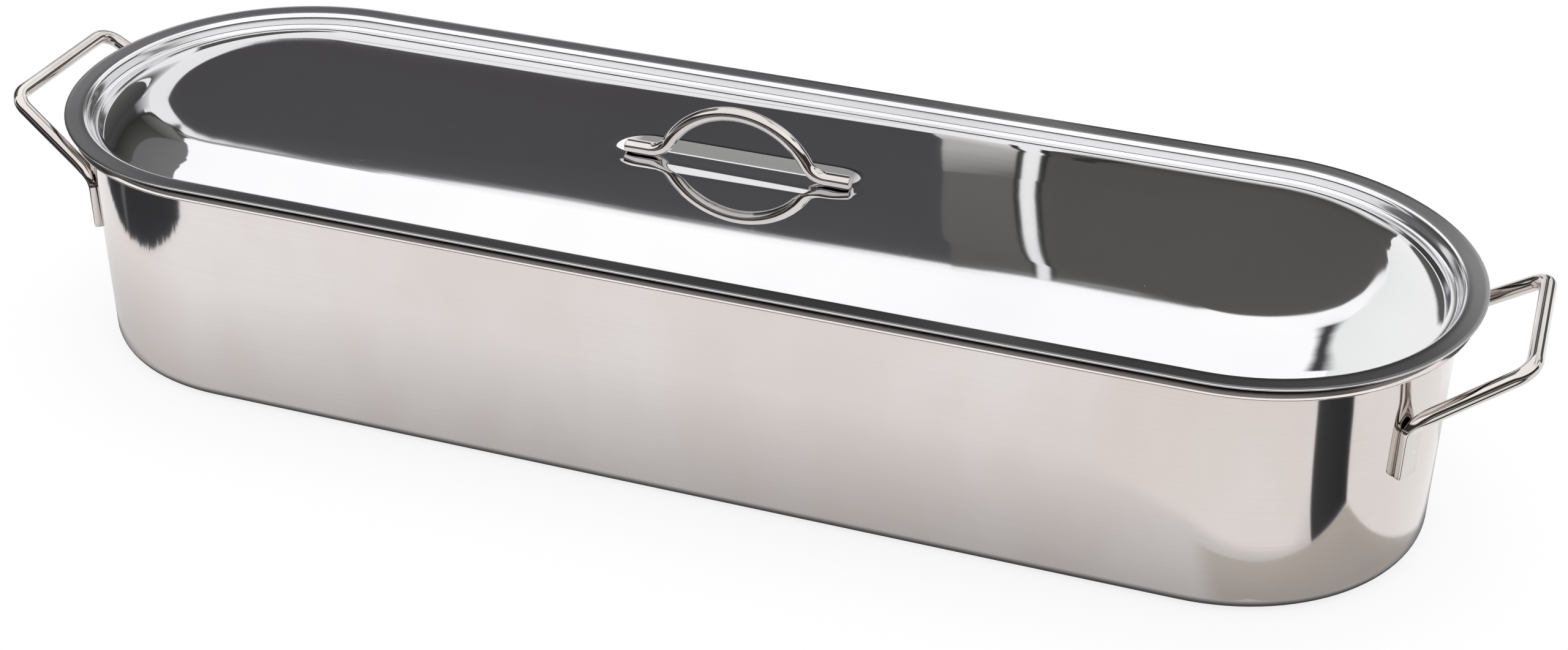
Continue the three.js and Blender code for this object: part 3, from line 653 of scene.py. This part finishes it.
rimCount = len(points) // len(edgeProfile)
rings = (centres[:, None] + lipPoints[:rack["holeSides"]])[..., :2].reshape(-1, 2)
flatPoints = np.concatenate([points[:rimCount, :2], rings])
ringStarts = rimCount + rack["holeSides"] * np.arange(len(holeX))
edges = np.concatenate([loopEdges([0], rimCount), loopEdges(ringStarts, rack["holeSides"])])
made = geometry.delaunay_2d_cdt([Vector(p) for p in flatPoints.tolist()], edges.tolist(), [], 1, 1e-5)
flat, triangles = np.array([tuple(p) for p in made[0]]), np.array(made[2])
middle = flat[triangles].mean(1)
inHole = (np.hypot(middle[:, :1] - holeX, middle[:, 1:] - holeY) < lip + rack["lipFlat"] / 2).any(1)
triangles = triangles[~inHole]
top = np.column_stack([flat, np.full(len(flat), rackTop)])
bottom = top - (0, 0, rack["sheet"])
blocks = [(points, faces), (top, triangles), (bottom, triangles[:, ::-1]), (allLips, allLipFaces)]
starts = np.cumsum([0] + [len(p) for p, f in blocks])
plateFaces = sum(((f + s).tolist() for (p, f), s in zip(blocks, starts)), [])
platePoints = np.concatenate([p for p, f in blocks])
corners = np.concatenate([np.ravel(f) for f in plateFaces]).astype(int)
mesh = newMesh("rackPlate", platePoints, plateFaces, platePoints[corners][:, :2] * mm)
addPiece(mesh, rackSteel, "rack", "rack_steel", "rack_plate")

footZ = rackTop + plan["seatGap"] + rack["footThickness"] / 2
barZ = pan["height"] - rack["handleDrop"]
half = evenly(lineThrough([
    (legX + rack["footLength"], -legY, footZ, 0, 0),
    (legX, -legY, footZ, rack["footBend"], 12),
    (legX, -legY, barZ, rack["handleBend"], 16),
    (legX, 0, barZ, 0, 0)]), rack["handleStep"])
foot = (rack["footWidth"], rack["footThickness"], rack["footSquareness"])
footFlat, footEase = rack["footLength"] - rack["footBend"], rack["footBend"] * 1.5
for end, endSide in bothEnds:
    path = bothHalves(half, endSide)
    towards = np.array([rack["footWay"]]) * np.where(path[:, 1:2] < 0, 1, (-1, 1, 1)) * (endSide, 1, 1)
    shape = flattened(path, rack["rod"], foot, footFlat, footEase)
    mesh = rodMesh(f"rackHandle{end}", path, towards, shape, rack["endRound"], rack["sides"])
    addPiece(mesh, wire, "rack", "wire_steel", f"rack_handle_{end.lower()}")

# Rivet: a domed head on the foot, a shank and a flat closing head, turned about its own axis, given by radii
rivet = dict(shank=2.0, head=3.7, headHeight=1.6, headEdge=0.25, tail=0.84, tailFace=0.76, tailHeight=0.6,
             tailBevel=0.3, place=0.62, sides=32, uvStep=0.4)
headSeat = footZ + rack["footThickness"] / 2 + plan["seatGap"]
tailSeat = rackTop - rack["sheet"] - plan["seatGap"]
tailEnd = tailSeat - rivet["headHeight"] * rivet["tailHeight"]
head, shank, tail = rivet["head"], rivet["shank"], rivet["head"] * rivet["tail"]
t = np.linspace(0, math.pi / 2, 8)
domeZ = headSeat + rivet["headEdge"] + (rivet["headHeight"] - rivet["headEdge"]) * np.sin(t)
rivetProfile = np.concatenate([
    [(0, tailEnd), (head * rivet["tailFace"], tailEnd), (tail, tailEnd + rivet["tailBevel"]),
     (tail, tailSeat), (shank, tailSeat), (shank, headSeat), (head, headSeat)],
    np.stack([head * np.cos(t), domeZ], 1)])
points, faces, uv = turnedGrid(rivetProfile, rivet["sides"], rivet["uvStep"])
rivetX = legX + rack["footLength"] * rivet["place"]
for number, (endSide, side) in enumerate(((-1, -1), (-1, 1), (1, -1), (1, 1)), 1):
    mesh = newMesh(f"rackRivet{number}", points + (endSide * rivetX, side * legY, 0), faces, uv)
    addPiece(mesh, rackSteel, "rack", "rack_steel", f"rack_rivet_{number}")
print("pieces ready")

# Studio: a white floor, a white sky that is brighter overhead, and cards that stand for the room and show
# in reflections only. Sizes here are in metres.
studio = dict(
    radius=6.0, rowPoints=33, horizon=(0.985, 0.98, 1.0), overhead=1.24, skyBetween=(0.42, 0.54),
    floorSize=12.0, floorLevel=-0.0002, floorAlbedo=0.92, seenNear=0.8, seenFar=0.97, seenReach=0.06,
    mirroredWhite=0.35, shadeReach=0.085, shadeLeft=0.78, shadeRight=0.62, shadeSpan=0.25,
    footShade=0.2, footBetween=(-0.001, 0.006))


def stagePiece(name, points, faces, material, onlyReflected=True):
    mesh = bpy.data.meshes.new(name)
    mesh.from_pydata(points, [], faces)
    mesh.materials.append(material)
    piece = bpy.data.objects.new(name, mesh)
    bpy.context.scene.collection.objects.link(piece)
    if onlyReflected:
        piece.visible_camera = piece.visible_diffuse = piece.visible_shadow = piece.visible_transmission = False
    return piece


def glow(name, low, high, soft):
    # Light of its own, from one tint to another across the card, which fades out over a soft share of its edges.
    material = bpy.data.materials.new(name)
    g = cleared(material)
    shares = g.parts(g.way())
    light = g.add("ShaderNodeEmission", {"Color": g.blend(shares[1], low, high)})
    cover = 1.0
    for share, fade in zip(shares, soft):
        if fade:
            edge = g.math("SUBTRACT", 0.5, g.math("ABSOLUTE", g.math("SUBTRACT", share, 0.5)))
            cover = g.times(g.scaled(edge, 0.0, fade, kind="SMOOTHSTEP"), cover)
    clear = g.add("ShaderNodeBsdfTransparent")
    g.add("ShaderNodeOutputMaterial", {"Surface": g.add("ShaderNodeMixShader", {0: cover, 1: clear, 2: light})})
    return material


def evenRow(corners, count=studio["rowPoints"]):
    # So many points at equal steps along a row of corners.
    corners = np.array(corners, float)
    at = travelled(corners)
    return np.column_stack([np.interp(np.linspace(0, at[-1], count), at, column) for column in corners.T])


def card(name, low, high, lowTint, highTint, soft):
    # A strip between two rows of points. UV runs from 0 to 1 along the rows and from the low row to the high
    # one. A tint is red, green and blue from 0 to 255, or four linear values where it is brighter than white.
    count = len(low)
    k = np.arange(count - 1)
    faces = np.stack([k, k + 1, k + 1 + count, k + count], 1)
    tints = [tint if len(tint) == 4 else colour(*tint) for tint in (lowTint, highTint or lowTint)]
    piece = stagePiece(name, np.concatenate([low, high]).tolist(), faces.tolist(), glow(name, *tints, soft))
    u = np.stack([k, k + 1, k + 1, k], 1) / (count - 1)
    uv = np.stack([u, u * 0 + (0, 0, 1, 1)], -1)
    piece.data.uv_layers.new(name="alongAndAcross").data.foreach_set("uv", uv.astype(np.float32).ravel())


def skyCard(name, low, high, lowTint, highTint=None, nearer=0.0, soft=(0, 0)):
    # A card bent round the object: x = radius * sin(azimuth), y = radius * cos(azimuth) and
    # z = radius * tan(elevation), from rows of (azimuth, elevation) in degrees, with azimuth 0 along +y.
    rows = []
    for row in (low, high):
        azimuth, elevation = np.radians(evenRow(row)).T
        way = np.column_stack([np.sin(azimuth), np.cos(azimuth), np.tan(elevation)])
        rows.append((studio["radius"] - nearer) * way)
    card(name, *rows, lowTint, highTint, soft)


def floorCard(name, low, high, level, lowTint, highTint=None, soft=(0, 0)):
    # A level card just above the floor, from rows of (x, y) in millimetres.
    count = max(studio["rowPoints"], len(low))
    rows = (np.column_stack([evenRow(row, count), np.full(count, level)]) * mm for row in (low, high))
    card(name, *rows, lowTint, highTint, soft)


def ribbon(line, half):
    # Two rows to the left and right of a line, half a width away from it on its normal.
    line = evenRow(line)
    along = np.gradient(line, axis=0)
    along /= np.linalg.norm(along, axis=1)[:, None]
    normal = np.stack([-along[:, 1], along[:, 0]], 1) * evenRow(np.reshape(half, (-1, 1)))
    return line - normal, line + normal


# The cards lie where the lid and the pan mirror them in the photograph's places. Behind the object there is
# a dark wall in two parts, with a pale strip between them.
wallTop = [(-37.4, 26.0), (-37.1, 27.7), (-36.5, 28.75), (-35.5, 29.25), (-33.5, 29.8), (-29.5, 30.7),
    (-24, 31.75), (-18.5, 32.6), (-13, 33.25)]
wallFoot = [(-37.4, 25.7), (-36.5, 24.4), (-35.5, 23.4), (-34.5, 22.75), (-33.5, 22.5), (-32.5, 22.6),
    (-30.5, 23.05), (-24.5, 23.9), (-23.5, 23.9), (-22.5, 23.6), (-20.5, 22.1), (-18.5, 20.2),
    (-16.5, 18.0), (-12.8, 14.4)]
skyCard("backWall", wallFoot, wallTop, (77, 75, 78), (83, 82, 85), soft=(0, 0.015))
footLine = [(-26, 23.8), (-24, 23.95), (-22.5, 23.4), (-20.5, 21.9), (-18.5, 20.0), (-16.5, 17.8),
    (-14.5, 15.9), (-13, 14.5)]
skyCard("wallFootShade", *ribbon(footLine, (0.2, 0.5, 0.8)), (232, 230, 234), (86, 85, 86),
    nearer=0.02, soft=(0.1, 0))
rightFoot = [(-9.6, 8.6), (-4, 7.6), (0.5, 8.0), (2, 10), (3.6, 11.6), (5, 10.8), (6.5, 8.5), (7.7, 8.2)]
rightTop = [(-11.9, 33.2), (-10.5, 33.45), (-8.5, 33.55), (-6.5, 33.55), (-4.5, 32.85), (-1.5, 32.2),
    (-0.5, 31.4), (1.0, 28.5), (2.05, 27), (3.5, 25.5), (5.0, 22.5), (5.45, 21), (5.7, 19.5),
    (6.15, 18), (6.8, 15), (7.6, 10.5)]
skyCard("rightWall", rightFoot, rightTop, (76, 75, 73), (93, 92, 89), soft=(0, 0.015))
skyCard("rightWallFoot", [(-8.5, 2.2), (-4, 2), (0, 2.2), (2, 4.5), (4, 6), (5.6, 5), (7.7, 2.6)], rightFoot,
    (228, 226, 222), (100, 100, 95), nearer=-0.02)
skyCard("nearBlack", [(-10.1, 25.5), (-9.6, 19), (-8.9, 13), (-8.2, 7)],
    [(-9.3, 25.5), (-8.7, 19), (-7.8, 13), (-7.1, 7)], (58, 57, 54), nearer=0.02, soft=(0.1, 0.25))
skyCard("paleWall", [(-13.0, 12.5), (-10.4, 12.5)], [(-13.85, 26.1), (-11.3, 25.8)],
    (230, 228, 225), (188, 186, 183), nearer=0.04)
skyCard("paleWallTop", [(-13.85, 26.0), (-11.3, 25.7)], [(-13.9, 28.0), (-11.5, 27.0)],
    (184, 182, 179), (112, 110, 108), nearer=0.04)
skyCard("paleWallUpper", [(-13.9, 27.9), (-11.5, 26.9)], [(-14.1, 33.15), (-11.2, 33.25)],
    (110, 108, 106), (97, 96, 94), nearer=0.05, soft=(0, 0.02))
strip = [(-10.3, 10.5), (-10.4, 14), (-10.62, 18), (-10.77, 22), (-10.93, 24), (-11.2, 26), (-11.42, 28),
    (-11.46, 29), (-11.28, 30), (-11.06, 31), (-11.1, 33.2)]
skyCard("paleStripShade", *ribbon(strip, (0.56, 0.52, 0.5, 0.46, 0.38)), (42, 43, 41), nearer=0.06)
skyCard("paleStrip", *ribbon(strip, (0.31, 0.29, 0.29, 0.27, 0.2)), (255, 255, 255), nearer=0.08)
skyCard("wallMarks", [(-10.7, 33.0), (-7.6, 33.12)], [(-10.7, 33.2), (-7.6, 33.3)], (150, 150, 150),
    nearer=0.08, soft=(0.3, 0.4))

# To the left there are a haze over the wall's end and a broad dark card in several tones.
skyCard("leftHaze", [(-38.2, 28.0), (-36, 29.1), (-35, 29.4), (-31, 30.4)],
    [(-38.2, 30.2), (-37, 30.3), (-36, 30.3), (-35, 30.4), (-33, 30.7), (-31, 30.8)],
    (110, 110, 113), (238, 237, 241), nearer=0.03, soft=(0.1, 0.1))
skyCard("leftLow", [(-98, 3), (-47.6, 3)], [(-98, 22.1), (-42.2, 22.1)], (104, 104, 101), (68, 68, 68))
skyCard("leftLowEdge", [(-49.4, 3), (-46.7, 7.5), (-45.2, 10), (-43.2, 15), (-42.5, 17.5), (-42.4, 20),
    (-44, 22.1)],
    [(-46.2, 3), (-43.6, 7.5), (-42, 10), (-41, 12.5), (-39.6, 15), (-38.6, 17.5), (-38.4, 20),
    (-39.2, 22.1)], (84, 85, 81), (242, 241, 242), nearer=0.03)
skyCard("leftMid", [(-98, 22), (-44, 22)], [(-98, 27), (-44, 27)], (76, 77, 75), (58, 58, 57))
skyCard("leftWedge", [(-48.5, 21.4), (-48.5, 26.6)], [(-40.6, 21.4), (-40.6, 26.9)],
    (72, 72, 71), (234, 233, 236), nearer=0.05, soft=(0.3, 0))
skyCard("leftCard", [(-98, 26.6), (-44, 26.6), (-40.5, 26.8), (-38, 27.3), (-37.2, 27.6)],
    [(-98, 37.2), (-44.6, 37.2), (-42.6, 35.4), (-41.2, 33.8), (-40.2, 32.5), (-38.9, 31.0), (-37.4, 29.8)],
    (49, 49, 48), (92, 93, 90), soft=(0, 0.012))
skyCard("leftCardEdge", [(-47, 26.7), (-47, 35.5)], [(-37.4, 27.4), (-42.5, 35.5)],
    (72, 73, 71), (124, 124, 121), nearer=0.03, soft=(0.08, 0))
skyCard("leftCardTop", [(-98, 35.5), (-42.4, 35.3)],
    [(-98, 53), (-74, 53), (-70, 52), (-66, 51.6), (-62, 50.8), (-60, 50.2), (-58, 48.8), (-54, 46.8),
    (-50, 43.9), (-48, 42.1), (-46, 40), (-44, 37.8), (-42.3, 35.4)],
    (115, 113, 114), (130, 129, 129), nearer=0.02, soft=(0, 0.04))
skyCard("leftFoot", [(-38.8, 0.5), (-29, 0.5)],
    [(-38.8, 13.2), (-36, 13.9), (-34, 13.4), (-32.8, 11.4), (-31.4, 8.6), (-29.8, 4.4)],
    (85, 87, 82), nearer=0.05, soft=(0.05, 0.1))
backStreak = [(-31.5, 21.5), (-29.3, 19.3), (-27, 17.3), (-25, 15.8), (-21, 13), (-19.3, 11.2),
    (-18, 9.6), (-17, 8), (-15.8, 5.8), (-14.6, 3.8), (-13, 2)]
skyCard("backStreak", *ribbon(backStreak, (0.7, 0.9, 1.0)), (188, 187, 187), nearer=0.05, soft=(0.1, 0.5))

# To the right there are a bright haze, a low dark card, a boom that rises across the haze and a dark card.
skyCard("rightHaze", [(7.6, 6), (11, 12), (18, 17), (28, 22), (40, 24), (90, 24)],
    [(-0.6, 33), (2, 39), (5.5, 45), (9.5, 50), (15.5, 55.5), (20, 58), (31, 62.5), (46, 65), (90, 65)],
    (1.1, 1.1, 1.09, 1), (1.02, 1.03, 1.02, 1), nearer=-0.1, soft=(0, 0.03))
skyCard("rightLow", [(9.4, 1), (60, 1)],
    [(9.6, 9), (11.5, 12), (14, 14.4), (18, 17.6), (22, 19.8), (26, 21.6), (31, 24), (60, 31)],
    (74, 74, 71), (104, 104, 101), soft=(0.03, 0.14))
boomLine = [(-1.3, 32.4), (0.7, 36.4), (2.4, 39.2), (6.4, 45.2), (9.2, 48.2), (12, 51), (15.8, 54.2),
    (20.2, 57.2), (27, 60.4), (36.6, 63.2), (46, 65.2), (56, 66.2), (66, 66.6)]
skyCard("boom", *ribbon(boomLine, (1.0, 2.4, 3.8, 4.8, 5.4, 5.4, 5.2)), (74, 74, 76),
    nearer=0.5, soft=(0.05, 0.45))
skyCard("rightDark", [(44, 32), (46.5, 36), (50, 40), (53, 44)], [(54, 32), (60, 36), (70, 40), (84, 44)],
    (106, 106, 104), (50, 50, 49), nearer=0.3, soft=(0.06, 0.12))

# On the viewer's side there are a dark wall and the dark floor in front of it.
skyCard("farWall", [(75, 0.2), (255, 0.2)], [(75, 28), (255, 28)], (62, 57, 53), (58, 53, 50), soft=(0.02, 0.12))
floorCard("roomFloor", [(-5000, -270), (5000, -270)], [(-5000, -5900), (5000, -5900)], 0.1,
    (84, 78, 74), (62, 57, 53), soft=(0.02, 0.01))

# On the floor near the pan there are bright patches of painted light and a grey painted shadow at the right, and
# a dark blob at the left.
floorCard("brightFront", [(291, -89), (270, -98), (240, -113), (220, -125), (180, -145), (150, -157)],
    [(470, -190), (440, -300), (380, -360), (100, -360)], 0.2, (251, 249, 247), soft=(0.12, 0.04))
floorCard("brightEnd", [(299, 60), (296, 30), (293, -3), (303, -26), (312, -45), (330, -72)],
    [(480, 160), (480, -130)], 0.2, (252, 251, 249), soft=(0.0, 0.03))
# A painted shadow of the pan on the floor, seen in reflections.
floorCard("paintedShadowEnd", [(295, -8), (287, -37), (275, -56), (258, -71), (238, -84), (215, -86)],
    [(295, -5), (305, -27), (330, -72), (291, -89), (258, -103), (205, -128)],
    0.3, (176, 173, 168), (198, 194, 188), soft=(0.12, 0.03))
floorCard("darkStrip", [(291, -89), (308, -105), (330, -124), (360, -150), (560, -330)],
    [(330, -72), (352, -80), (395, -96), (450, -117), (640, -190)],
    0.4, (66, 68, 70), (44, 46, 49), soft=(0, 0.02))
# The left blob's edge has teeth, as polishing scratches draw it out: every second point is pushed aside.
teeth = dict(points=111, longest=12, way=(-0.75, -0.66), seed=4)
blobEdge = evenRow([(-418, -20), (-400, -37), (-382, -55), (-364, -79), (-347, -109), (-334, -131),
    (-326, -153), (-318, -176), (-312, -203), (-306, -240)], teeth["points"])
drawn = np.random.default_rng(teeth["seed"]).uniform(2, teeth["longest"], (teeth["points"] // 2, 1))
blobEdge[1::2] += drawn * teeth["way"]
floorCard("leftBlob", blobEdge,
    [(-900, 100), (-900, -240), (-800, -300), (-600, -500), (-420, -500)], 0.3,
    (60, 62, 67), (46, 47, 50), soft=(0, 0.004))
floorCard("blobStreak", [(-374, -79), (-430, -75)], [(-374, -85), (-430, -98)], 0.4, (104, 106, 108),
    soft=(0.05, 0.2))

# Floor. What mirrors it sees it with painted shade, darker near the pan and darkest at its foot, and the camera
# sees it white, a little less so near the pan.
floorMaterial = bpy.data.materials.new("whiteFloor")
g = cleared(floorMaterial)
seen = g.add("ShaderNodeLightPath", output=None)
mirrored = g.math("ADD", seen["Is Glossy Ray"], seen["Is Transmission Ray"], clamp=True)
x, y = g.parts(g.object())[:2]
away = g.math("SUBTRACT", g.fromLine(x, y, plan["length"] / 2 * mm), wallRadius * mm)
# The shade below is painted shade that only mirrors see.
closest = g.scaled(x, -studio["shadeSpan"], studio["shadeSpan"], studio["shadeLeft"], studio["shadeRight"])
shade = g.scaled(away, 0.0, studio["shadeReach"], closest, 1.0)
shade = g.times(shade, g.scaled(away, *studio["footBetween"], studio["footShade"], 1.0))
kept = g.math("ADD", 1.0, g.times(mirrored, g.math("SUBTRACT", shade, 1.0)))
seenWhite = g.scaled(away, 0.0, studio["seenReach"], studio["seenNear"], studio["seenFar"], kind="SMOOTHSTEP")
mirroredWhite = g.times(mirrored, studio["mirroredWhite"])
own = g.timesPlus(seen["Is Camera Ray"], seenWhite, mirroredWhite)
albedo = g.times(g.times(g.math("SUBTRACT", 1.0, own), studio["floorAlbedo"]), kept)
grey = g.add("ShaderNodeCombineXYZ", {0: albedo, 1: albedo, 2: albedo})
matt = g.add("ShaderNodeBsdfDiffuse", {"Color": grey})
white = g.add("ShaderNodeEmission", {"Color": (1, 1, 1, 1), "Strength": g.times(own, kept)})
g.add("ShaderNodeOutputMaterial", {"Surface": g.add("ShaderNodeAddShader", {0: matt, 1: white})})
size, level = studio["floorSize"], studio["floorLevel"]
corners = [(-size, -size, level), (size, -size, level), (size, size, level), (-size, size, level)]
stagePiece("floor", corners, [(0, 1, 2, 3)], floorMaterial, False)

world = bpy.data.worlds.new("softStudio")
bpy.context.scene.world = world
g = cleared(world)
height = g.parts(g.add("ShaderNodeTexCoord", output=0))[2]
rise = g.scaled(height, *studio["skyBetween"], kind="SMOOTHSTEP")
low, high = (*studio["horizon"], 1), (studio["overhead"],) * 3 + (1,)
g.add("ShaderNodeOutputWorld", {"Surface": g.add("ShaderNodeBackground", {"Color": g.blend(rise, low, high)})})

# Camera, from a fit of the object's outlines in the photograph
view = dict(azimuth=18.959, elevation=31.414, roll=0.634, distance=1048.66, target=(20.87, 0.0, 37.71),
            focal=57.37, sensor=36.0, nearClip=0.01, farClip=60.0)
az, el, roll = (math.radians(view[k]) for k in ("azimuth", "elevation", "roll"))
back = Vector((math.sin(az) * math.cos(el), -math.cos(az) * math.cos(el), math.sin(el)))
right = (-back).cross(Vector((0, 0, 1))).normalized()
up = right.cross(-back)
right, up = math.cos(roll) * right + math.sin(roll) * up, math.cos(roll) * up - math.sin(roll) * right
camera = bpy.data.objects.new("camera", bpy.data.cameras.new("camera"))
bpy.context.scene.collection.objects.link(camera)
camera.data.lens, camera.data.sensor_width = view["focal"], view["sensor"]
camera.data.clip_start, camera.data.clip_end = view["nearClip"], view["farClip"]
turned = Matrix((right, up, back)).transposed().to_4x4()
turned.translation = (Vector(view["target"]) + back * view["distance"]) * mm
camera.matrix_world = turned
bpy.context.scene.camera = camera
bpy.context.scene.view_settings.view_transform = "Standard"
print("studio and camera ready")
